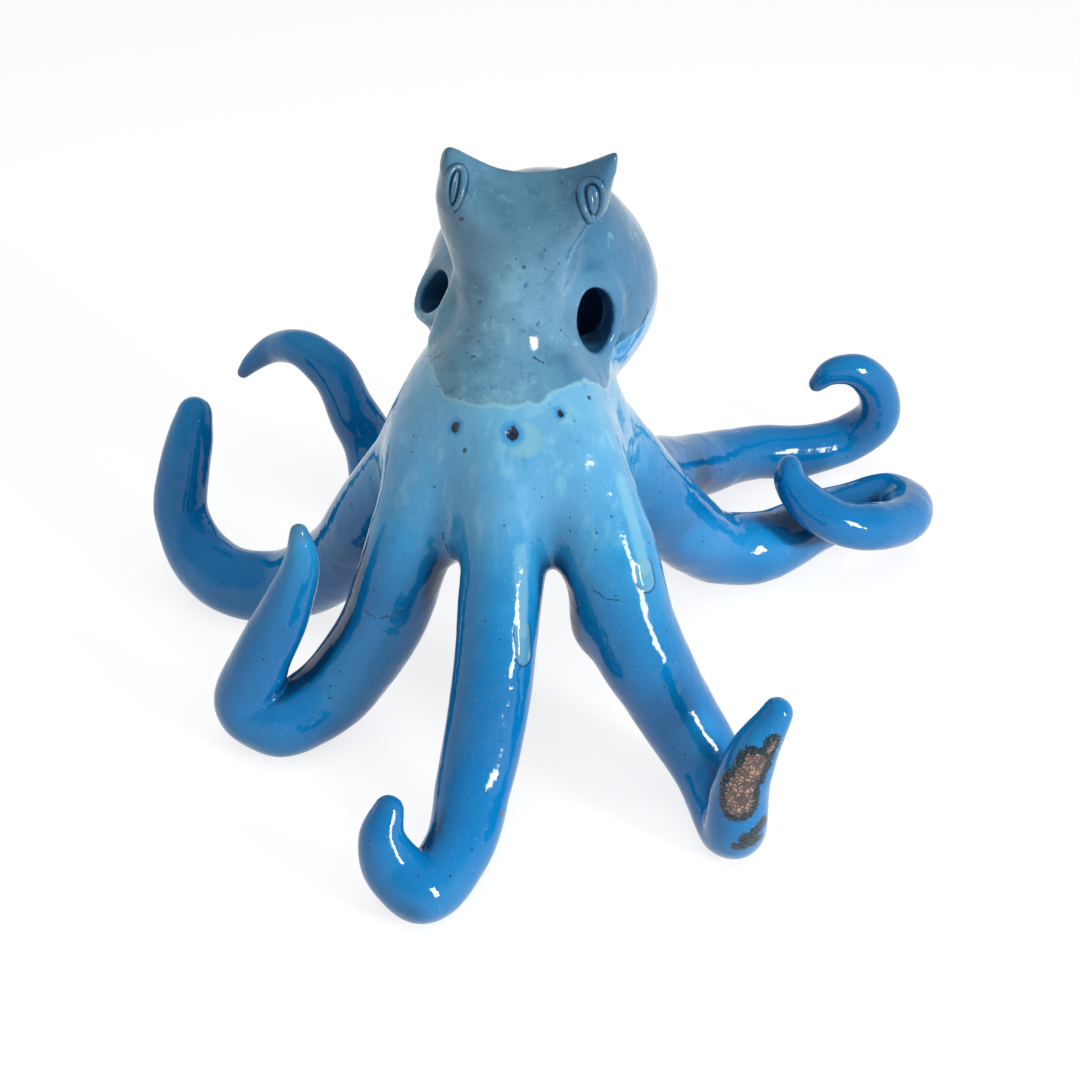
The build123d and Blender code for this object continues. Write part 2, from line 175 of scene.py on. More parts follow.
# Arms
# Eight hand-rolled coils of the same clay, luted under the skirt and curled while wet.
# Each row of a path is (out, aside, fall, curl, girth), the same shares as the solids have: out and aside of
# the reach, fall of the shoulder height, curl of the curl height, girth of the root diameter.
shoulder_height = 91
foot_flat = 0.5
arms = {
    "arm_front": {
        "heading": 262,
        "reach": 106,
        "curl_height": 26,
        "root_diameter": 25,
        "joint": 2.5,
        "path_shares": (
            (0.11, 0.025, 1.05, 0, 1),
            (0.25, 0.055, 0.85, 0, 1),
            (0.34, 0.07, 0.61, 0, 0.98),
            (0.525, 0.085, 0.32, 0, 0.92),
            (0.67, 0.08, 0.1, 0, 0.87),
            (0.845, 0.085, 0.01, 0, 0.78),
            (0.995, 0.035, 0, 0, 0.72),
            (0.985, -0.045, 0, 0.23, 0.66),
            (0.97, -0.08, 0, 0.67, 0.51),
            (0.93, -0.07, 0, 1, 0.35),
        ),
    },
    "arm_front_right": {
        "heading": 313,
        "reach": 106,
        "curl_height": 47,
        "root_diameter": 28,
        "joint": 2.35,
        "path_shares": (
            (0.13, 0.03, 1.04, 0, 0.96),
            (0.285, 0.03, 0.85, 0, 0.99),
            (0.425, 0.03, 0.62, 0, 1),
            (0.555, 0.04, 0.37, 0, 0.94),
            (0.655, 0.095, 0.18, 0, 0.85),
            (0.775, 0.115, 0.05, 0, 0.76),
            (0.955, 0.05, 0, 0, 0.66),
            (0.98, 0.04, 0, 0.38, 0.58),
            (0.99, 0.07, 0, 0.72, 0.5),
            (1.0, 0.13, 0, 1, 0.32),
        ),
    },
    "arm_right": {
        "heading": 45,
        "reach": 161,
        "curl_height": 41,
        "root_diameter": 27,
        "joint": 3.15,
        "path_shares": (
            (0.095, -0.01, 1, 0, 1),
            (0.205, -0.015, 0.73, 0, 1),
            (0.305, -0.012, 0.49, 0, 0.99),
            (0.41, -0.012, 0.25, 0, 0.98),
            (0.54, -0.018, 0.035, 0, 0.95),
            (0.645, -0.052, 0, 0, 0.9),
            (0.79, -0.048, 0, 0.035, 0.79),
            (0.9, -0.06, 0, 0.05, 0.71),
            (0.985, -0.08, 0, 0.08, 0.68),
            (0.98, -0.145, 0, 0.15, 0.65),
            (0.905, -0.205, 0, 0.27, 0.63),
            (0.81, -0.215, 0, 0.37, 0.61),
            (0.72, -0.185, 0, 0.51, 0.56),
            (0.685, -0.13, 0, 0.65, 0.52),
            (0.67, -0.085, 0, 0.84, 0.42),
            (0.68, -0.07, 0, 0.98, 0.3),
        ),
    },
    "arm_back_right": {
        "heading": 68,
        "reach": 174,
        "curl_height": 43,
        "root_diameter": 26,
        "joint": 3.15,
        "path_shares": (
            (0.075, -0.005, 1.01, 0, 1),
            (0.18, -0.02, 0.77, 0, 1),
            (0.3, -0.02, 0.5, 0, 0.97),
            (0.42, -0.025, 0.31, 0, 0.92),
            (0.555, -0.03, 0.17, 0, 0.94),
            (0.71, -0.055, 0.06, 0, 0.87),
            (0.85, -0.115, 0.01, 0, 0.79),
            (0.93, -0.205, 0, 0, 0.75),
            (0.99, -0.275, 0, 0.1, 0.69),
            (1, -0.33, 0, 0.38, 0.63),
            (0.98, -0.33, 0, 0.7, 0.55),
            (0.94, -0.29, 0, 0.96, 0.47),
            (0.91, -0.25, 0, 1, 0.35),
            (0.895, -0.225, 0, 0.93, 0.2),
        ),
    },
    "arm_back": {
        "heading": 100,
        "reach": 140,
        "curl_height": 46,
        "root_diameter": 26,
        "joint": 2.4,
        "path_shares": (
            (0.085, -0.015, 1.01, 0, 1),
            (0.2, -0.02, 0.81, 0, 1),
            (0.33, -0.02, 0.53, 0, 0.95),
            (0.46, -0.015, 0.27, 0, 0.91),
            (0.605, -0.015, 0.09, 0, 0.86),
            (0.755, -0.01, 0.01, 0, 0.8),
            (0.875, -0.01, 0, 0.03, 0.74),
            (0.97, -0.01, 0, 0.3, 0.67),
            (1, -0.015, 0, 0.63, 0.58),
            (0.945, -0.03, 0, 0.9, 0.48),
            (0.87, -0.05, 0, 1, 0.35),
            (0.805, -0.07, 0, 0.95, 0.22),
        ),
    },
    "arm_back_left": {
        "heading": 134,
        "reach": 161,
        "curl_height": 51,
        "root_diameter": 26,
        "joint": 2.35,
        "path_shares": (
            (0.06, -0.025, 1.01, 0, 1),
            (0.165, -0.025, 0.8, 0, 1),
            (0.29, -0.03, 0.53, 0, 0.95),
            (0.425, -0.05, 0.27, 0, 0.89),
            (0.555, -0.07, 0.09, 0, 0.83),
            (0.645, -0.095, 0, 0, 0.78),
            (0.715, -0.125, 0, 0.27, 0.74),
            (0.755, -0.105, 0, 0.58, 0.68),
            (0.8, -0.09, 0, 0.83, 0.62),
            (0.86, -0.055, 0, 1, 0.52),
            (0.945, -0.025, 0, 0.95, 0.4),
            (0.985, 0.01, 0, 0.85, 0.3),
            (1, 0.03, 0, 0.79, 0.18),
        ),
    },
    "arm_left": {
        "heading": 166,
        "reach": 128,
        "curl_height": 54.5,
        "root_diameter": 26.4,
        "joint": 2.3,
        "path_shares": (
            (0.07, -0.015, 1.01, 0, 0.98),
            (0.19, 0.015, 0.81, 0, 1),
            (0.335, 0.01, 0.51, 0, 0.98),
            (0.495, -0.02, 0.18, 0, 0.96),
            (0.665, -0.035, 0, 0, 0.92),
            (0.8, -0.005, 0, 0.01, 0.86),
            (0.92, -0.04, 0, 0.11, 0.79),
            (0.978, -0.075, 0, 0.34, 0.71),
            (0.985, -0.12, 0, 0.6, 0.65),
            (0.98, -0.165, 0, 0.83, 0.57),
            (0.975, -0.19, 0, 0.98, 0.45),
        ),
    },
    "arm_front_left": {
        "heading": 212,
        "reach": 86,
        "curl_height": 74,
        "root_diameter": 26,
        "joint": 2.35,
        "path_shares": (
            (0.085, 0, 1.03, 0, 1),
            (0.265, 0.018, 0.85, 0, 1),
            (0.405, 0.053, 0.59, 0, 1),
            (0.535, 0.03, 0.26, 0, 0.97),
            (0.725, 0.005, 0.04, 0, 0.93),
            (0.905, 0.01, 0, 0, 0.87),
            (0.995, -0.065, 0, 0.06, 0.82),
            (0.95, -0.055, 0, 0.3, 0.7),
            (0.835, -0.02, 0, 0.59, 0.58),
            (0.78, -0.005, 0, 0.83, 0.4),
            (0.775, -0.01, 0, 1, 0.23),
        ),
    },
}
path_steps = 12


def arm_curve(arm):
    """The arm's centre line with its radius, from inside the hub to the tip."""
    heading = radians(arm["heading"])
    points = []
    for out, aside, fall, curl, girth in arm["path_shares"]:
        along = out * arm["reach"]
        across = aside * arm["reach"]
        radius = girth * arm["root_diameter"] / 2
        x = along * cos(heading) - across * sin(heading)
        y = along * sin(heading) + across * cos(heading)
        z = radius - foot_flat + fall * shoulder_height + curl * arm["curl_height"]
        points.append((x, y, z, radius))
    return smooth_path(points, path_steps)


def coil(curve, reach):
    """Field of a tapering coil, and for each cell how far along the curve its nearest point is."""
    thickness = curve[:, 3].max() + reach
    place, (x, y, z) = block((curve[:, :3] - thickness).min(0), (curve[:, :3] + thickness).max(0))
    low = np.array((x.min(), y.min(), z.min()))
    form = np.full((x.size, y.size, z.size), far_away, np.float32)
    row = np.zeros(form.shape, np.float32)
    for number, (a, b) in enumerate(zip(curve, curve[1:])):
        run = b[:3] - a[:3]
        pad = max(a[3], b[3]) + reach
        first = np.maximum(((np.minimum(a, b)[:3] - pad - low) / grain).astype(int), 0)
        last = ((np.maximum(a, b)[:3] + pad - low) / grain).astype(int) + 2
        part = tuple(slice(i, j) for i, j in zip(first, last))
        px = x[part[0]] - a[0]
        py = y[:, part[1]] - a[1]
        pz = z[:, :, part[2]] - a[2]
        share = np.clip((px * run[0] + py * run[1] + pz * run[2]) / (run @ run), 0, 1).astype(np.float32)
        gap = np.sqrt((px - share * run[0]) ** 2 + (py - share * run[1]) ** 2 + (pz - share * run[2]) ** 2)
        gap = gap - (a[3] + share * (b[3] - a[3]))
        nearer = gap < form[part]
        form[part] = np.where(nearer, gap, form[part])
        row[part] = np.where(nearer, number + share, row[part])
    return place, form, row


lute(hub, place, "body", 1)
arm_fillets = (4.5, 11)
fillet_heights = (52, 104)
arm_field_reach = 16
for name, arm in arms.items():
    curve = arm_curve(arm)
    place, form, row = coil(curve, arm_field_reach)
    owners.append(name)
    free_end = row > arm["joint"] * path_steps
    # The fillets are broad on the shoulders and tighten into creases where the arms part
    height = field_low[2] + grain * np.arange(field_shape[2])[place[2]]
    fillet = np.interp(height, fillet_heights, arm_fillets)
    lute(form, place, np.where(free_end, len(owners) - 1, 0), fillet)

# Lump
# A knob of spare clay left under the root of the front right arm, where the arm was luted on. It is part of
# that arm and glazed with it.
lump_centre = (29.5, -35, 52)
lump_radius = 7.5
lump_stretch = 1.35
lump_fillet = 6
place, (x, y, z) = block((8, -56, 30), (48, -16, 72))
lump = np.sqrt(
    (x - lump_centre[0]) ** 2 + (y - lump_centre[1]) ** 2 + ((z - lump_centre[2]) / lump_stretch) ** 2
)
lute(lump - lump_radius, place, "arm_front_right", lump_fillet)

# Head
# The top of the same cone of clay, pinched from behind into a brow ridge with a saddle in the middle.
# Its two corners are pulled out into blunt horns.
horns = (
    {"root": (-10.5, 1, 169), "tip": (-14.6, -2.6, 183.4)},
    {"root": (20, 1, 170), "tip": (29.8, -2.6, 185.6)},
)
horn_root_radius = 7.5
horn_tip_radius = 1.0
horn_fillet = 7
saddle_low = (5.6, -1.5, 169.6)
saddle_radius = 32
saddle_rounding = 4
face_slope = radians(42)
crown_slope = radians(50)
crown_high = 181.0
crown_bow = 85
crown_rounding = 2
for horn in horns:
    pulled = np.array((horn["root"] + (horn_root_radius,), horn["tip"] + (horn_tip_radius,)))
    horn_place, form, _ = coil(smooth_path(pulled, 2), 12)
    lute(form, horn_place, "head", horn_fillet)
place, (x, y, z) = block((-30, -24, neck_top - 4), (42, 40, 187.5))
head = clay[place]
across = x - saddle_low[0]
above = (z - saddle_low[2]) * cos(face_slope) - (y - saddle_low[1]) * sin(face_slope)
saddle = np.sqrt(across**2 + (above - saddle_radius) ** 2) - saddle_radius
head = soft_cut(head, saddle, saddle_rounding)
behind = (y - saddle_low[1]) * sin(crown_slope) + (z - crown_high) * cos(crown_slope)
behind = behind - across**2 / (2 * crown_bow)
head = soft_cut(head, -behind + 0 * head, crown_rounding)
clay[place] = head
owner[place] = np.where((z >= neck_top) & (owner[place] == 0), owners.index("head"), owner[place])

# Mantle
# A pinched hollow egg of clay set behind the head, its nose up against the neck and its tail back and down.
# It is luted to the neck and the skirt, and the join is smoothed over with a finger.
mantle_centre = np.array((4, 46, 118))
mantle_radius = 35
mantle_nose = 45
mantle_tail = 43
mantle_wall = 5.5
mantle_tilt = radians(46)
mantle_fillet = 7


def egg(x, y, z, skin):
    """The mantle's form, shrunk by a skin."""
    nose_way = -(y - mantle_centre[1]) * sin(mantle_tilt) + (z - mantle_centre[2]) * cos(mantle_tilt)
    side_way = (y - mantle_centre[1]) * cos(mantle_tilt) + (z - mantle_centre[2]) * sin(mantle_tilt)
    length = np.where(nose_way > 0, mantle_nose, mantle_tail) - skin
    radius = mantle_radius - skin
    across = (x - mantle_centre[0]) / radius
    form = np.sqrt(across**2 + (side_way / radius) ** 2 + (nose_way / length) ** 2) - 1
    return true_distance(form * radius)


# Funnels
# Two short spouts pulled from slabs and luted over holes in the mantle, one on each side of the neck. Both
# are open right through to the mantle's hollow, and the right one's bore also grooves the neck beside it.

# Headings are turned from straight ahead, climbs are up from level, stand is what shows outside the mantle
funnels = {
    "left": {
        "seat_heading": -46, "seat_climb": 9, "heading": -58, "climb": 42, "stand": 6.5,
        "root_width": 15, "root_tall": 17, "lip_width": 18.5, "lip_tall": 18, "wall": 2.4,
    },
    "right": {
        "seat_heading": 26, "seat_climb": 12, "heading": 44, "climb": 12, "stand": 6,
        "root_width": 20.5, "root_tall": 26, "lip_width": 21, "lip_tall": 26, "wall": 3.6,
    },
}


def direction(heading, climb):
    """Unit vector turned from straight ahead and raised from level."""
    level = cos(radians(climb))
    return np.array((level * sin(radians(heading)), -level * cos(radians(heading)), sin(radians(climb))))


def spout(funnel, x, y, z, skin, overrun):
    """Oval taper from inside the mantle's wall to the lip, shrunk by a skin and longer by an overrun."""
    seat = mantle_centre + mantle_radius * direction(funnel["seat_heading"], funnel["seat_climb"])
    axis = direction(funnel["heading"], funnel["climb"])
    side = np.array((-axis[1], axis[0], 0)) / np.hypot(axis[0], axis[1])
    rise = np.cross(axis, side)
    out, aside, up = (
        (x - seat[0]) * way[0] + (y - seat[1]) * way[1] + (z - seat[2]) * way[2] for way in (axis, side, rise)
    )
    start = -2 * mantle_wall
    share = np.clip((out - start) / (funnel["stand"] - start), 0, 1.2)
    half_width = (funnel["root_width"] + share * (funnel["lip_width"] - funnel["root_width"])) / 2 - skin
    half_tall = (funnel["root_tall"] + share * (funnel["lip_tall"] - funnel["root_tall"])) / 2 - skin
    oval = np.sqrt((aside / half_width) ** 2 + (up / half_tall) ** 2)
    form = true_distance((oval - 1) * np.minimum(half_width, half_tall))
    form = soft_cut(form, funnel["stand"] + overrun - out, 1.5)
    return soft_cut(form, out - start + overrun, 1)


funnel_fillet = 5
mantle_span = mantle_nose + 22
place, (x, y, z) = block(mantle_centre - mantle_span, mantle_centre + mantle_span)
mantle = egg(x, y, z, 0)
mantle_owner = np.full(mantle.shape, len(owners), np.uint8)
owners.append("mantle")
for side, funnel in funnels.items():
    rim = spout(funnel, x, y, z, 0, 0)
    mantle_owner = np.where(rim < mantle, len(owners), mantle_owner)
    owners.append(f"funnel_{side}")
    mantle = soft_union(mantle, rim, funnel_fillet)
mantle = np.maximum(mantle, -egg(x, y, z, mantle_wall))
lute(mantle, place, mantle_owner, mantle_fillet)
# The left funnel's front lip runs on down beside the neck as a pinched fold
fold = np.array(((-14.5, 1.5, 141, 1.6), (-18.3, 1.2, 131, 2.4), (-21.5, 3, 122, 1.6)))
fold_fillet = 4
fold_place, fold_form, _ = coil(smooth_path(fold, 4), 12)
lute(fold_form, fold_place, "funnel_left", fold_fillet)
bore_edge_rounding = 1.6
for funnel in funnels.values():
    bore = spout(funnel, x, y, z, funnel["wall"], 3)
    clay[place] = soft_cut(clay[place], bore, bore_edge_rounding)

# Clay skin
# The surface of the whole figure under its glaze. Pinched and hand-rolled clay keeps the pressure of the
# maker's hands, so it is faintly uneven: swells 23 to 38 mm apart, and dabs some 11 mm apart.
band = np.abs(clay) < 4
x, y, z = (field_low[i] + grain * np.nonzero(band)[i].astype(np.float32) for i in range(3))
swell = np.zeros(x.shape, np.float32)
for spacing, depth, turn in ((38, 0.4, 0.4), (23, 0.16, 2.1), (11, 0.04, 4.4)):
    wave = 2 * pi / spacing
    swell += depth * np.sin(wave * (x + 0.4 * y) + turn + np.sin(wave * z * 0.7 + turn))
    swell += depth * np.sin(wave * (z - 0.5 * x) + 2 * turn + np.sin(wave * y * 0.8 - turn))
clay[band] += 0.5 * swell


def sample(field, points):
    """The field's values at any points, in between its cells."""
    spot = np.clip((points - field_low) / grain, 0, np.array(field.shape) - 1.001)
    cell = spot.astype(int)
    part = spot - cell
    value = 0
    for step in np.ndindex(2, 2, 2):
        weight = np.prod(np.where(step, part, 1 - part), axis=1)
        value = value + weight * field[tuple((cell + step).T)]
    return value


def slope(field, points):
    """The field's slope at any points."""
    steps = grain * np.eye(3)
    rises = [sample(field, points + step) - sample(field, points - step) for step in steps]
    return np.stack(rises, axis=1) / (2 * grain)


def surface(field):
    """Points and quads of the surface where the field is zero."""
    solid = field < 0
    steps = list(np.ndindex(2, 2, 2))
    shifted = [tuple(slice(s, n - 1 + s) for s, n in zip(step, solid.shape)) for step in steps]
    count = sum(solid[part].astype(np.uint8) for part in shifted)
    cells = np.argwhere((count > 0) & (count < 8))
    number = np.full(count.shape, -1, np.int32)
    number[tuple(cells.T)] = np.arange(len(cells))
    values = [field[tuple((cells + step).T)] for step in steps]
    total = np.zeros((len(cells), 3))
    crossings = np.zeros(len(cells))
    for a, low in enumerate(steps):
        for b, high in enumerate(steps):
            if b > a and sum(high) - sum(low) == 1 and sum(i != j for i, j in zip(low, high)) == 1:
                cut = (values[a] < 0) != (values[b] < 0)
                share = np.where(cut, values[a] / np.where(cut, values[a] - values[b], 1), 0)
                total += cut[:, None] * (np.array(low) + share[:, None] * (np.array(high) - low))
                crossings += cut
    points = field_low + grain * (cells + total / crossings[:, None])
    quads = []
    for axis in range(3):
        inner = [slice(1, -1)] * 3
        inner[axis] = slice(0, -1)
        below = solid[tuple(inner)]
        inner[axis] = slice(1, None)
        edges = np.argwhere(below != solid[tuple(inner)])
        first, second = (other for other in range(3) if other != axis)
        outward = below[tuple(edges.T)] ^ (axis == 1)
        edges[:, [first, second]] += 1
        ring = []
        for back in ((0, 0), (1, 0), (1, 1), (0, 1)):
            cell = edges.copy()
            cell[:, first] -= back[0]
            cell[:, second] -= back[1]
            ring.append(number[tuple(cell.T)])
        ring = np.stack(ring, axis=1)
        quads.append(np.where(outward[:, None], ring, ring[:, ::-1]))
    return points, np.concatenate(quads)


points, quads = surface(clay)
ends = np.concatenate([quads.ravel(), np.roll(quads, -1, axis=1).ravel()])
other_ends = np.concatenate([np.roll(quads, -1, axis=1).ravel(), quads.ravel()])
neighbours = np.bincount(ends, minlength=len(points))
for _ in range(3):
    sums = [np.bincount(ends, points[other_ends, i], len(points)) for i in range(3)]
    middles = np.stack(sums, axis=1) / neighbours[:, None]
    points = points + 0.6 * (middles - points)
    for _ in range(2):
        steep = slope(clay, points)
        points = points - steep * (sample(clay, points) / np.maximum((steep**2).sum(1), 0.2))[:, None]
outward = slope(clay, points)
outward /= np.linalg.norm(outward, axis=1)[:, None]

# Cutting the skin into its pieces
# The hub, arms, head, mantle and funnels are parted again where they were luted. Each gets its own stretch of
# the one smooth skin, with a cap over each rim that lies inside the clay, out of sight; other rims stay open.
quad_middles = points[quads].mean(axis=1)
quad_owner = owner[tuple(np.round((quad_middles - field_low) / grain).astype(int).T)]
# A stray quad takes the owner that most of its corners' other quads have
for _ in range(3):
    votes = np.zeros((len(points), len(owners)), np.int32)
    for corner in range(4):
        np.add.at(votes, (quads[:, corner], quad_owner), 1)
    quad_owner = votes[quads].sum(axis=1).argmax(axis=1)


def rims(faces, count):
    """The open edges of a sheet of quads, in one list for each rim."""
    starts = faces.ravel().astype(np.int64)
    stops = np.roll(faces, -1, axis=1).ravel().astype(np.int64)
    lone = ~np.isin(starts * count + stops, stops * count + starts)
    edges = list(zip(starts[lone].tolist(), stops[lone].tolist()))
    following = {}
    for start, stop in edges:
        following.setdefault(start, []).append(stop)
    found = []
    while following:
        start = next(iter(following))
        here = start
        rim = []
        while following.get(here):
            there = following[here].pop()
            if not following[here]:
                del following[here]
            rim.append((here, there))
            here = there
        found.append(rim)
    return found


def clay_object(name, corners, faces, hollows):
    """Smooth object in metres from millimetres off the neck's axis, with how closed in each corner is."""
    mesh = bpy.data.meshes.new(name)
    mesh.from_pydata(((corners - (*axis_to_middle, 0)) / 1000).tolist(), [], faces)
    mesh.polygons.foreach_set("use_smooth", [True] * len(mesh.polygons))
    mesh.attributes.new("hollow", "FLOAT", "POINT").data.foreach_set("value", hollows.astype(np.float32))
    piece = bpy.data.objects.new(name, mesh)
    scene.collection.objects.link(piece)
    return piece


def make_piece(name, corners, faces, normals, hollows):
    """A stretch of the skin, with a fan over each rim that is inside the clay."""
    used, faces = np.unique(faces, return_inverse=True)
    faces = faces.reshape(-1, 4)
    corners = corners[used]
    normals = normals[used]
    hollows = hollows[used]
    triangles = []
    for rim in rims(faces, len(corners)):
        members = [start for start, _ in rim]
        middle = corners[members].mean(axis=0)
        inward = middle - corners[members]
        spokes = np.vstack([corners[members] + share * inward for share in (0.3, 0.65, 1)])
        if sample(clay, spokes).max() > 0:
            continue
        hub_number = len(corners)
        corners = np.vstack([corners, middle])
        normals = np.vstack([normals, normals[members].mean(axis=0)])
        hollows = np.append(hollows, 0)
        triangles += [(stop, start, hub_number) for start, stop in rim]
    piece = clay_object(name, corners, faces.tolist() + triangles, hollows)
    piece.data.normals_split_custom_set_from_vertices(normals.tolist())
    return piece


# How closed in each point is, from 0 on open clay to 1 deep in a crease, which is where glaze gathers and where
# painted shade darkens it
feeler = 7.0
long_feeler = 13.0
hollow = np.clip(1 - sample(clay, points + feeler * outward) / feeler, 0, 1)
hollow = np.maximum(hollow, np.clip(1 - sample(clay, points + long_feeler * outward) / feeler, 0, 1))
skin = {}
for number, name in enumerate(owners):
    piece = make_piece(f"clay_{name}", points, quads[quad_owner == number], outward, hollow)
    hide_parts(name)
    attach(piece, "root")
    skin[name] = piece

# Eyes
# A thin coil of clay pressed down round an oval pad on each side of the face, with a sharp groove on both of
# its sides in which the glaze lies dark, deepened with painted shade.
eye_band_width = 1.7
eye_band_stand = 0.9
eye_pad_gap = 0.35
eye_pad_stand = 0.6
eyes = {
    "left": {"centre": (-13.8, -6.3, 173.0), "outward": (-0.2, -0.84, 0.5), "width": 5.8, "tall": 12.6},
    "right": {"centre": (23.7, -5.2, 171.0), "outward": (0.4, -0.78, 0.48), "width": 7.2, "tall": 11.8},
}


def dropped(spots, way):
    """Points let down along a direction until they rest on the clay."""
    spots = spots + 5 * way
    for _ in range(14):
        spots = spots - way * np.clip(sample(clay, spots), -1, 1)[:, None]
    return spots


def pressed(eye, half_size, profile, turns=96):
    """Oval rings of points round an eye, each let down on the clay and moved by its row of a profile."""
    outward_way = np.array(eye["outward"]) / np.linalg.norm(eye["outward"])
    side_way = np.cross((0, 0, 1), outward_way)
    side_way /= np.linalg.norm(side_way)
    up_way = np.cross(outward_way, side_way)
    turn = np.linspace(0, 2 * pi, turns, endpoint=False)[:, None]
    ways = np.cos(turn) * side_way + np.sin(turn) * up_way
    base = np.array(eye["centre"]) + half_size[0] * np.cos(turn) * side_way
    base = base + half_size[1] * np.sin(turn) * up_way
    rows = []
    for aside, lift, _ in profile:
        spots = dropped(base + aside * ways, outward_way)
        steep = slope(clay, spots)
        rows.append(spots + lift * steep / np.linalg.norm(steep, axis=1)[:, None])
    return np.array(rows), [depth for _, _, depth in profile]


def add_pressed(name, rows, depths, closed):
    """Mesh object from rings of points, joined end to end or closed with a middle point."""
    count, turns = rows.shape[:2]
    corners = rows.reshape(-1, 3)
    hollows = np.repeat(depths, turns)
    faces = []
    for row in range(count if closed else count - 1):
        for turn in range(turns):
            here, there = row * turns, (row + 1) % count * turns
            following = (turn + 1) % turns
            faces.append((here + turn, here + following, there + following, there + turn))
    if not closed:
        for row in (0, count - 1):
            corners = np.vstack([corners, corners[row * turns:(row + 1) * turns].mean(axis=0)])
            hollows = np.append(hollows, depths[row])
            for turn in range(turns):
                ring = (row * turns + (turn + 1) % turns, row * turns + turn, len(corners) - 1)
                faces.append(ring if row == 0 else ring[::-1])
    piece = clay_object(name, corners, faces, hollows)
    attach(piece, "root")
    return piece


# Rows are the way out from the band's middle, the height over the clay, and how deep the glaze lies there,
# which also sets how much painted shade it gets
half_band = eye_band_width / 2
band_profile = (
    (half_band + 0.45, -0.6, 1), (half_band + 0.35, 0.06, 1), (half_band, 0.12, 1),
    (0.8 * half_band, 0.5, 0.4), (0.4 * half_band, 0.8, 0), (0, eye_band_stand, 0),
    (-0.4 * half_band, 0.8, 0), (-0.8 * half_band, 0.5, 0.4), (-half_band, 0.12, 1),
    (-half_band - 0.3, 0.06, 1), (-half_band - 0.4, -0.6, 1), (0, -1.5, 1),
)
for side, eye in eyes.items():
    half_size = np.array((eye["width"], eye["tall"])) / 2
    rows, depths = pressed(eye, half_size - half_band, band_profile)
    ring = add_pressed(f"clay_eye_ring_{side}", rows, depths, closed=True)
    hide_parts(f"eye_ring_{side}")
    pad_size = half_size - eye_band_width - eye_pad_gap
    pad_profile = (
        (0.15, -0.9, 1), (0.1, 0.05, 1), (-0.25, 0.3, 0.5), (-0.3 * pad_size[0], 0.55, 0.1),
        (-0.6 * pad_size[0], eye_pad_stand, 0), (-0.85 * pad_size[0], eye_pad_stand, 0),
    )
    rows, depths = pressed(eye, pad_size, pad_profile)
    pad = add_pressed(f"clay_pupil_{side}", rows, depths, closed=False)
    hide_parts(f"pupil_{side}")
    skin[f"eye_ring_{side}"] = ring
    skin[f"pupil_{side}"] = pad

# Glaze
# A glossy stoneware glaze over every piece of clay, turquoise all over, with a second dip in grey-blue over
# the head and mantle. It ran in the firing, so it is deep blue where it pooled, milky on the skirt and
# pinholed, which makes it look wet and deep. Its dark coat in the hollows is partly painted shade.
glaze = bpy.data.materials.new("stoneware_dipped_glaze")
glaze.use_nodes = True
tree = glaze.node_tree
principled = tree.nodes["Principled BSDF"]


def linear(colour):
    """An sRGB hex colour as linear red, green, blue and alpha."""
    channels = [int(colour[i:i + 2], 16) / 255 for i in (0, 2, 4)]
    return (*(c / 12.92 if c <= 0.04045 else ((c + 0.055) / 1.055) ** 2.4 for c in channels), 1)


def node(kind, inputs=(), out=0, **settings):
    """Adds a node with its settings, fills its inputs with values or links, and returns one output."""
    made = tree.nodes.new(f"ShaderNode{kind}")
    for name, value in settings.items():
        setattr(made, name, value)
    for key, value in inputs.items() if isinstance(inputs, dict) else enumerate(inputs):
        if isinstance(value, bpy.types.NodeSocket):
            tree.links.new(value, made.inputs[key])
        else:
            made.inputs[key].default_value = value
    return made.outputs[out]


def gap(spot, start, stop):
    """Distance in millimetres from a line between two points on the figure."""
    run = Vector(stop) - Vector(start)
    offset = node("VectorMath", (spot, tuple(start)), operation="SUBTRACT")
    along = node("VectorMath", (offset, tuple(run / run.length_squared)), "Value", operation="DOT_PRODUCT")
    reached = node("VectorMath", {0: tuple(run), "Scale": node("Clamp", (along,))}, operation="SCALE")
    return node("VectorMath", (offset, reached), "Value", operation="DISTANCE")


# Places are in millimetres in the figure's own frame. Drifted places wander by up to 0.9 mm, as runny glaze
# does, which frays the edges of spots and patches.
metres = node("TexCoord", out="Object")
place = node("VectorMath", {0: metres, "Scale": 1000.0}, operation="SCALE")
wander = node("TexNoise", {"Vector": place, "Scale": 1 / 2.2, "Detail": 3.0}, "Color")
wander = node("VectorMath", (wander, (0.5, 0.5, 0.5)), operation="SUBTRACT")
wander = node("VectorMath", {0: wander, "Scale": 1.8}, operation="SCALE")
drifted = node("VectorMath", (place, wander), operation="ADD")
across = node("SeparateXYZ", (place,))
back = across.node.outputs["Y"]
height = across.node.outputs["Z"]
# How closed in the skin is; it sets the dark coat of pooled glaze and painted shade
pooled_and_shaded = node("Attribute", out="Fac", attribute_name="hollow")
soft = {"interpolation_type": "SMOOTHSTEP"}

# The turquoise glaze: deep blue down the arms and milky over the skirt, in clouds some 22 mm across
broad = node("TexNoise", {"Vector": place, "Scale": 1 / 22, "Detail": 3.0})
cloudy = node("Math", (broad, 0.5), operation="SUBTRACT")
level = node("Math", (cloudy, 26.0, height), operation="MULTIPLY_ADD")
ramp = node("ValToRGB", (node("Math", (level, 125.0), operation="DIVIDE"),), "Color")
ramp_elements = ramp.node.color_ramp.elements
ramp_elements[1].position = 0.92
for stop in (0.12, 0.34, 0.5, 0.64, 0.76):
    ramp_elements.new(stop)
from_low_to_high = ("1276ac", "0670ad", "0068a3", "0673ac", "2888bb", "4e96c2", "5f9fc2")
for element, tint in zip(ramp_elements, from_low_to_high):
    element.color = linear(tint)

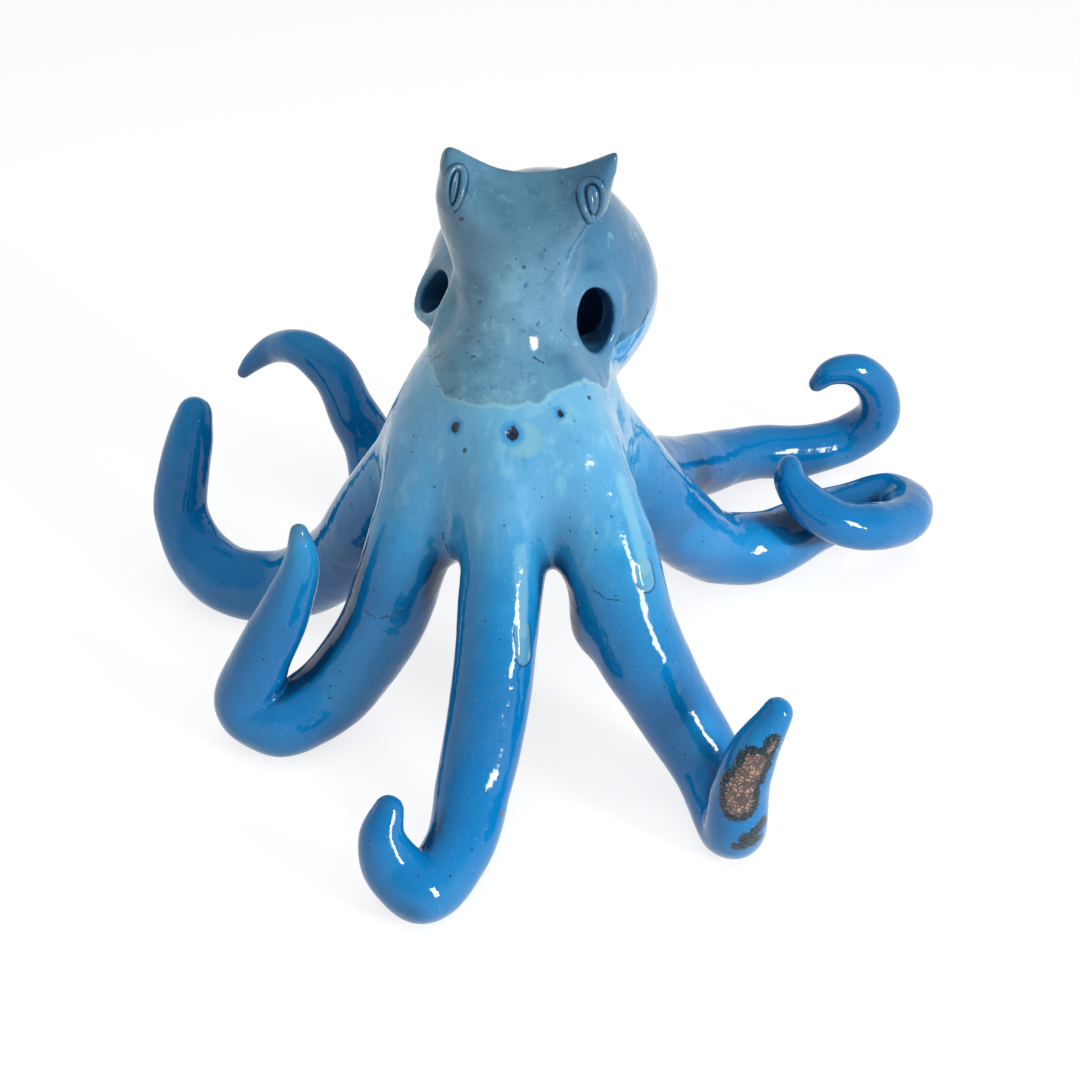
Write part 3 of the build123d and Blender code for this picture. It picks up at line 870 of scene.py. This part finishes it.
# Each coat is a cover from 0 to 1 and the colour it lays on
streaks = node("VectorMath", (drifted, (1.0, 1.0, 0.28)), operation="MULTIPLY")
streaks = node("TexNoise", {"Vector": streaks, "Scale": 1 / 4.5, "Detail": 4.0, "Roughness": 0.6})
high_up = node("MapRange", (height, 60.0, 105.0, 0.0, 0.4), **soft)
milky = node("MapRange", (streaks, 0.5, 0.3, 0.0, 1.0), **soft)
milky = node("Math", (milky, high_up), operation="MULTIPLY")
coats = [
    (node("MapRange", (streaks, 0.56, 0.8, 0.0, 0.35), **soft), "045288"),
    (milky, "86bccf"),
]
# Painted light: brighter patches on the outer sides of the coiled arms, where more light falls: two ends, and
# how far they reach
for start, stop, reach in (
    ((-37.0, -55.5, 42.0), (-51.0, -61.5, 23.0), 13), ((57.0, -73.0, 29.0), (73.0, -90.5, 42.0), 10),
    ((52.9, 17.2, 34.5), (79.6, 41.1, 20.3), 11),
):
    lit_patch_gap = gap(drifted, start, stop)
    # The brighter blue laid along each line is painted light
    coats.append((node("MapRange", (lit_patch_gap, 0.3 * reach, reach, 0.45, 0.0), **soft), "2490cc"))

# The turquoise on the underside of the mantle is a deeper blue
low_mantle = node("MapRange", (back, -6.0, 6.0, 0.0, 0.75), **soft)
under_dip = node("MapRange", (height, 82.0, 94.0), **soft)
low_mantle = node("Math", (low_mantle, under_dip), operation="MULTIPLY")
coats.append((low_mantle, "3a8fc8"))

# The second dip ends in a scalloped line round the neck and mantle: angles from straight ahead, then heights
dip_line = (
    (-180, 118), (-150, 121), (-120, 122), (-86, 119.5), (-59, 118), (-46, 116.5), (-36, 115.6),
    (-26, 115.8), (-10, 116.1), (-3, 116.9), (8, 116.8), (26, 116.9), (37, 118.4), (47, 119.3),
    (57, 119.1), (73, 116.3), (80, 113.5), (99, 109.5), (121, 112), (131, 115), (140, 119),
    (155, 121), (180, 118),
)
dip_low = 100.0
dip_span = 40.0
aside = node("Math", (across, axis_to_middle[0]), operation="ADD")
ahead = node("Math", (-axis_to_middle[1], back), operation="SUBTRACT")
turn = node("Math", (node("Math", (aside, ahead), operation="ARCTAN2"), 2 * pi), operation="DIVIDE")
line = node("FloatCurve", {"Value": node("Math", (turn, 0.5), operation="ADD")})
curve_points = line.node.mapping.curves[0].points
for angle, top in dip_line[1:-1]:
    curve_points.new(angle / 360 + 0.5, (top - dip_low) / dip_span)
curve_points[0].location = (0, (dip_line[0][1] - dip_low) / dip_span)
curve_points[-1].location = (1, (dip_line[-1][1] - dip_low) / dip_span)
line.node.mapping.update()
line_height = node("Math", (line, dip_span, dip_low), operation="MULTIPLY_ADD")
over_line = node("Math", (height, line_height), operation="SUBTRACT")
scallops = node("TexNoise", {"Vector": place, "Scale": 1 / 5})
scallops = node("Math", (scallops, 0.5), operation="SUBTRACT")
over_line = node("Math", (scallops, 3.0, over_line), operation="MULTIPLY_ADD")
dipped = node("MapRange", (over_line, -0.35, 0.35, 0.0, 1.0), **soft)

# The dip itself is cloudy grey-blue, darker towards the back and bluer to the viewer's right; its darkening
# towards the brows is painted shade
mottle = node("TexNoise", {"Vector": drifted, "Scale": 1 / 11, "Detail": 4.0, "Roughness": 0.62})
veins = node("TexNoise", {"Vector": drifted, "Scale": 1 / 6, "Detail": 5.0, "Roughness": 0.7})
brow_shade = node("MapRange", (height, 136.0, 168.0, 0.0, 0.5), **soft)
rightward = node("MapRange", (across, 0.0, 26.0, 0.0, 0.75), **soft)
rearward = node("MapRange", (back, -12.0, 14.0, 0.0, 0.45), **soft)
dip = node("RGB")
dip.node.outputs[0].default_value = linear("5888a2")
for cover, tint in (
    (node("MapRange", (mottle, 0.48, 0.68, 0.0, 0.8), **soft), "466f86"),
    (node("MapRange", (mottle, 0.46, 0.3, 0.0, 0.75), **soft), "6b9cb2"),
    (rightward, "2f719b"),
    (rearward, "2a5c80"),
    (node("MapRange", (veins, 0.55, 0.7, 0.0, 0.6), **soft), "32698d"),
    (node("MapRange", (veins, 0.42, 0.3, 0.0, 0.45), **soft), "86b4c4"),
    # Painted shade towards the brow line
    (brow_shade, "355b72"),
):
    dip = node("Mix", {0: cover, 6: dip, 7: linear(tint)}, 2, data_type="RGBA")
rim = node("Math", (over_line,), operation="ABSOLUTE")
coats += [
    (dipped, dip),
    (node("MapRange", (rim, 0.2, 0.8, 0.6, 0.0), **soft), "7fb0c0"),
    # Glaze pools in the hollows and is dark there, and this dark coat is also painted shade in creases, grooves
    # and between parts
    (node("MapRange", (pooled_and_shaded, 0.12, 0.85, 0.0, 0.86), **soft), "07355c"),
]

# Undissolved grains some 0.8 mm apart, and dark pinholes at two spacings, the larger ones fewer
grit = node("TexNoise", {"Vector": place, "Scale": 1 / 0.8, "Detail": 2.0})
coats.append((node("MapRange", (grit, 0.66, 0.78, 0.0, 0.3), **soft), "8fc3dc"))
relief = node("Math", (grit, 0.012), operation="MULTIPLY")
for spacing, width, rarity in ((3.6, 0.42, 0.45), (12.0, 0.66, 0.5)):
    cells = node("TexVoronoi", {"Vector": place, "Scale": 1 / spacing})
    chance = node("SeparateColor", (cells.node.outputs["Color"],))
    far = node("Math", (cells, spacing), operation="MULTIPLY")
    there = node("Math", (chance, rarity), operation="GREATER_THAN")
    size = node("Math", (there, chance), operation="MULTIPLY")
    size = node("Math", (size, width), operation="MULTIPLY")
    full = node("Math", (size, 0.7), operation="MULTIPLY")
    none = node("Math", (size, 0.05), operation="ADD")
    hole = node("MapRange", (far, full, none, 1.0, 0.0))
    coats.append((node("Math", (hole, 0.85), operation="MULTIPLY"), "10324f"))
    relief = node("Math", (hole, -0.12, relief), operation="MULTIPLY_ADD")

# Burst bubbles with a blue ring, a creamy halo and a near-black core that is painted shade in the pit: hole
# centre, hole size, halo centre and halo size
for centre, width, halo_centre, halo in (
    ((0.2, -46.6, 110.1), 2.0, (3.6, -47.0, 108.6), 6.0),
    ((12.6, -40.4, 113.9), 1.1, (13.2, -40.2, 113.2), 3.2),
    ((-16.4, -43.4, 109.0), 1.5, (-17.0, -43.4, 108.6), 2.4),
):
    ring = gap(drifted, halo_centre, tuple(c + 0.01 for c in halo_centre))
    hole = gap(drifted, centre, (centre[0], centre[1] - 0.3, centre[2] + 0.8))
    coats += [
        (node("MapRange", (ring, halo - 2.2, halo, 0.32, 0.0), **soft), "8fb9b4"),
        (node("MapRange", (hole, width, 2.3 * width, 0.9, 0.0), **soft), "2c83bb"),
        # The near-black core is painted shade inside the pit
        (node("MapRange", (hole, 0.7 * width, 1.05 * width, 1.0, 0.0), **soft), "0b2238"),
    ]
    dent = node("MapRange", (hole, 0.3 * width, width, 0.5, 0.0), **soft)
    relief = node("Math", (relief, dent), operation="SUBTRACT")

# Creamy runs down the two front arms, each ending in a bead whose rim is darkened on its lower side with
# painted shade: points and width
for run, width in (
    ((
        (30.7, -44.3, 95.9), (33.0, -48.5, 90.4), (37.0, -54.5, 81.1), (38.9, -57.8, 76.0), (39.6, -59.4, 72.6),
    ), 3.3),
    (((3.5, -59.5, 81.0), (5.0, -65.8, 69.0), (5.9, -70.6, 60.2), (6.7, -73.6, 54.0)), 3.2),
):
    track = gap(drifted, run[0], run[1])
    for start, stop in zip(run[1:-1], run[2:-1]):
        track = node("Math", (track, gap(drifted, start, stop)), operation="MINIMUM")
    bead = gap(place, run[-2], run[-1])
    from_rim = node("Math", (bead, width), operation="SUBTRACT")
    from_rim = node("Math", (from_rim,), operation="ABSOLUTE")
    from_rim = node("MapRange", (from_rim, 0.1, 0.36, 1.0, 0.0), **soft)
    # Painted shade: the dark rim is kept to the bead's lower side, under the raised bead
    shaded_underside = node("MapRange", (height, run[-2][2] - 1, run[-2][2] + 2.5, 1.0, 0.0), **soft)
    coats += [
        (node("MapRange", (track, 0.4 * width, 0.9 * width, 0.4, 0.0), **soft), "86b9c4"),
        (node("MapRange", (bead, width - 0.9, width, 0.5, 0.0), **soft), "6d9fb0"),
        (node("Math", (from_rim, shaded_underside), operation="MULTIPLY"), "12456a"),
    ]
    raised = node("MapRange", (bead, width - 2.0, width, 0.3, 0.0), **soft)
    relief = node("Math", (relief, raised), operation="ADD")

# Hairline cracks and scratches, and a dark slit of painted shade in the crease between the front and front left
# arms, each a chain of points
for chain in (
    ((-27.9, -21.1, 118.9), (-24.4, -26.5, 121.2), (-21.1, -27.9, 124.5)),
    ((4.2, -32.1, 126.6), (7.0, -32.2, 124.9)),
    ((-13.1, -33.5, 126.1), (-12.1, -33.3, 126.9)),
    # This chain is the slit: painted shade where the clay parts between two arms
    ((-19.6, -51.5, 78.5), (-18.4, -51.2, 73.2), (-17.8, -46.6, 64.9)),
    ((-43.5, -54.4, 50.9), (-39.8, -55.9, 49.5), (-35.5, -56.2, 50.3), (-31.7, -55.1, 52.8)),
    ((25.2, -63.2, 70.7), (28.2, -64.3, 69.4), (33.2, -64.6, 69.1)),
):
    for start, stop in zip(chain, chain[1:]):
        crack_and_slit_shade = node("MapRange", (gap(drifted, start, stop), 0.12, 0.34, 0.9, 0.0), **soft)
        coats.append((crack_and_slit_shade, "0d2a47"))
        relief = node("Math", (crack_and_slit_shade, -0.1, relief), operation="MULTIPLY_ADD")

# Dark specks and knocks: place, size and colour
for spot, width, tint in (
    ((-13.4, -47.5, 104.3), 0.75, "16324d"), ((20.0, -32.0, 114.6), 0.9, "143350"),
    ((-15.8, -26.2, 164.5), 1.0, "22304f"), ((-3.7, -27.3, 165.0), 1.0, "2c5068"),
    ((-4.7, -27.4, 165.4), 1.2, "8aaebe"), ((19.0, -24.6, 175.0), 1.3, "14283a"),
    ((10.0, -25.5, 172.0), 0.45, "2c5575"), ((12.0, -26.0, 171.0), 0.35, "2c5575"),
    ((1.1, -26.7, 151.5), 0.7, "1d4460"), ((1.5, -27.4, 145.9), 0.8, "2b6a8d"),
    ((5.0, -27.7, 134.5), 0.8, "2d5f80"), ((-11.0, -28.5, 140.7), 0.5, "1b3c55"),
    ((3.4, -100.1, 17.2), 1.2, "6f5347"), ((-61.7, -52.7, 78.8), 1.3, "5a4038"),
    ((77.8, 44.6, 42.0), 0.9, "1c3f58"),
):
    speck = gap(drifted, spot, tuple(c + 0.2 for c in spot))
    coats.append((node("MapRange", (speck, 0.6 * width, width, 0.9, 0.0), **soft), tint))

# The glaze is worn thin and grey on each arm's tip
for arm in arms.values():
    tip = Vector(arm_curve(arm)[-1][:3]) - Vector((*axis_to_middle, 0))
    worn = gap(drifted, tip, tip + Vector((0, 0, 0.2)))
    coats.append((node("MapRange", (worn, 1.6, 4.6, 0.5, 0.0), **soft), "4a6577"))

# On the tip of the front right arm copper in the glaze has turned to a crackled brown lustre, inside a burnt
# and nearly black teal rim
blotch = gap(drifted, (77.6, -93.6, 46.3), (74.5, -95.2, 41.5))
blotch = node("Math", (blotch, 2.6), operation="SUBTRACT")
for start, stop, width in (
    ((73.0, -95.5, 41.0), (70.2, -97.0, 34.0), 5.0), ((69.5, -97.0, 33.0), (69.3, -98.5, 27.5), 5.7),
    ((76.8, -96.0, 19.0), (71.5, -99.0, 15.5), 2.2), ((76.0, -97.0, 13.5), (70.0, -99.7, 12.4), 1.7),
):
    stroke = node("Math", (gap(drifted, start, stop), width), operation="SUBTRACT")
    blotch = node("Math", (blotch, stroke), operation="MINIMUM")
frayed = node("TexNoise", {"Vector": place, "Scale": 1 / 1.3, "Detail": 4.0, "Roughness": 0.7})
frayed = node("Math", (frayed, 0.5), operation="SUBTRACT")
ragged = node("Math", (frayed, 4.0, blotch), operation="MULTIPLY_ADD")
burnt = node("MapRange", (ragged, -0.25, 0.15, 1.0, 0.0), **soft)
shards = node("TexVoronoi", {"Vector": drifted, "Scale": 1 / 1.5}, feature="DISTANCE_TO_EDGE")
shards = node("MapRange", (shards, 0.03, 0.2, 0.25, 1.0), **soft)
copper_edge = node("MapRange", (ragged, -2.5, -1.6, 1.0, 0.0), **soft)
above_patch = node("MapRange", (height, 21.0, 22.5, 0.0, 1.0))
lustre = node("Math", (copper_edge, above_patch), operation="MULTIPLY")
lustre = node("Math", (lustre, shards), operation="MULTIPLY")
sooty = node("TexNoise", {"Vector": place, "Scale": 1 / 2.4, "Detail": 4.0})
sooty = node("MapRange", (sooty, 0.46, 0.6, 0.0, 0.85), **soft)
coats += [
    (burnt, "0f2b38"),
    (lustre, "ab8878"),
    (node("Math", (lustre, sooty), operation="MULTIPLY"), "3a4148"),
]
rough_crust = node("Math", (burnt, shards), operation="MULTIPLY")
relief = node("Math", (rough_crust, 0.3, relief), operation="MULTIPLY_ADD")

colour = ramp
for cover, tint in coats:
    top = linear(tint) if isinstance(tint, str) else tint
    colour = node("Mix", {0: cover, 6: colour, 7: top}, 2, data_type="RGBA")
tree.links.new(colour, principled.inputs["Base Color"])

# The fired surface is faintly rippled, some 7 mm from crest to crest, under a finer orange peel
ripple = node("TexNoise", {"Vector": place, "Scale": 1 / 7, "Detail": 1.0})
peel = node("TexNoise", {"Vector": place, "Scale": 1 / 2, "Detail": 1.0})
relief = node("Math", (ripple, 0.42, relief), operation="MULTIPLY_ADD")
relief = node("Math", (peel, 0.06, relief), operation="MULTIPLY_ADD")
bump = node("Bump", {"Height": relief, "Strength": 1.0, "Distance": 0.001})
tree.links.new(bump, principled.inputs["Normal"])
sheen_clouds = node("TexNoise", {"Vector": place, "Scale": 1 / 9, "Detail": 3.0})
gloss = node("MapRange", (sheen_clouds, 0.4, 0.7, 0.06, 0.13), **soft)
tree.links.new(node("Math", (lustre, 0.16, gloss), operation="MULTIPLY_ADD"), principled.inputs["Roughness"])
tree.links.new(node("Math", (lustre, 0.35), operation="MULTIPLY"), principled.inputs["Metallic"])
principled.inputs["IOR"].default_value = 1.44
for piece in skin.values():
    piece.data.materials.append(glaze)

# Table and light
# A plain pale table under the figure, which keeps a soft shadow. A big soft box hangs overhead, a tall window
# to the right of the viewer is mirrored in the glaze, and the white walls stand under a dimmer ceiling.
floor_half = 3.0
floor_mesh = bpy.data.meshes.new("floor")
floor_corners = [(x * floor_half, y * floor_half, 0) for x, y in ((-1, -1), (1, -1), (1, 1), (-1, 1))]
floor_mesh.from_pydata(floor_corners, [], [(0, 1, 2, 3)])
floor = bpy.data.objects.new("floor", floor_mesh)
scene.collection.objects.link(floor)
paper = bpy.data.materials.new("white_paper_sweep")
paper.use_nodes = True
tree = paper.node_tree
tree.nodes.remove(tree.nodes["Principled BSDF"])


def seen_by_eye():
    """1 for rays from the camera, straight, mirrored or through something clear, and 0 for lighting rays."""
    ray = node("LightPath", out="Is Camera Ray")
    seen = node("Math", (ray, ray.node.outputs["Is Glossy Ray"]), operation="MAXIMUM")
    return node("Math", (seen, ray.node.outputs["Is Transmission Ray"]), operation="MAXIMUM")


plain = node("BsdfDiffuse", {"Color": (0.8, 0.8, 0.8, 1)})
shaded = node("BsdfDiffuse", {"Color": (0.27, 0.27, 0.27, 1)})
glow = node("Emission", {"Color": (1, 1, 1, 1), "Strength": 0.81})
chosen = node("MixShader", (seen_by_eye(), plain, node("AddShader", (shaded, glow))))
tree.links.new(chosen, tree.nodes["Material Output"].inputs["Surface"])
floor_mesh.materials.append(paper)

world = bpy.data.worlds.new("studio")
scene.world = world
world.use_nodes = True
tree = world.node_tree
sky_strength = 0.72
strength = node("Math", (seen_by_eye(), 1 - sky_strength, sky_strength), operation="MULTIPLY_ADD")
up = node("SeparateXYZ", (node("TexCoord", out="Generated"),), "Z")
ceiling = node("MapRange", (up, 0.12, 0.6, 1.0, 0.4), interpolation_type="SMOOTHSTEP")
tree.links.new(node("CombineColor", (ceiling, ceiling, ceiling)), tree.nodes["Background"].inputs["Color"])
tree.links.new(strength, tree.nodes["Background"].inputs["Strength"])

# Name, place in metres, width and height of the light, watts. Only the window shows as a mirrored shape
for name, spot, wide, tall, watts in (
    ("soft_box", (0.05, -0.1, 0.95), 0.9, 0.9, 4.4),
    ("window", (0.78, -0.5, 0.36), 0.18, 0.42, 7.5),
):
    light = bpy.data.lights.new(name, "AREA")
    light.shape = "RECTANGLE"
    light.size = wide
    light.size_y = tall
    light.energy = watts
    holder = bpy.data.objects.new(name, light)
    holder.location = spot
    holder.rotation_mode = "QUATERNION"
    holder.rotation_quaternion = (Vector(spot) - Vector((0, 0, 0.08))).to_track_quat("Z", "Y")
    holder.visible_glossy = name == "window"
    scene.collection.objects.link(holder)
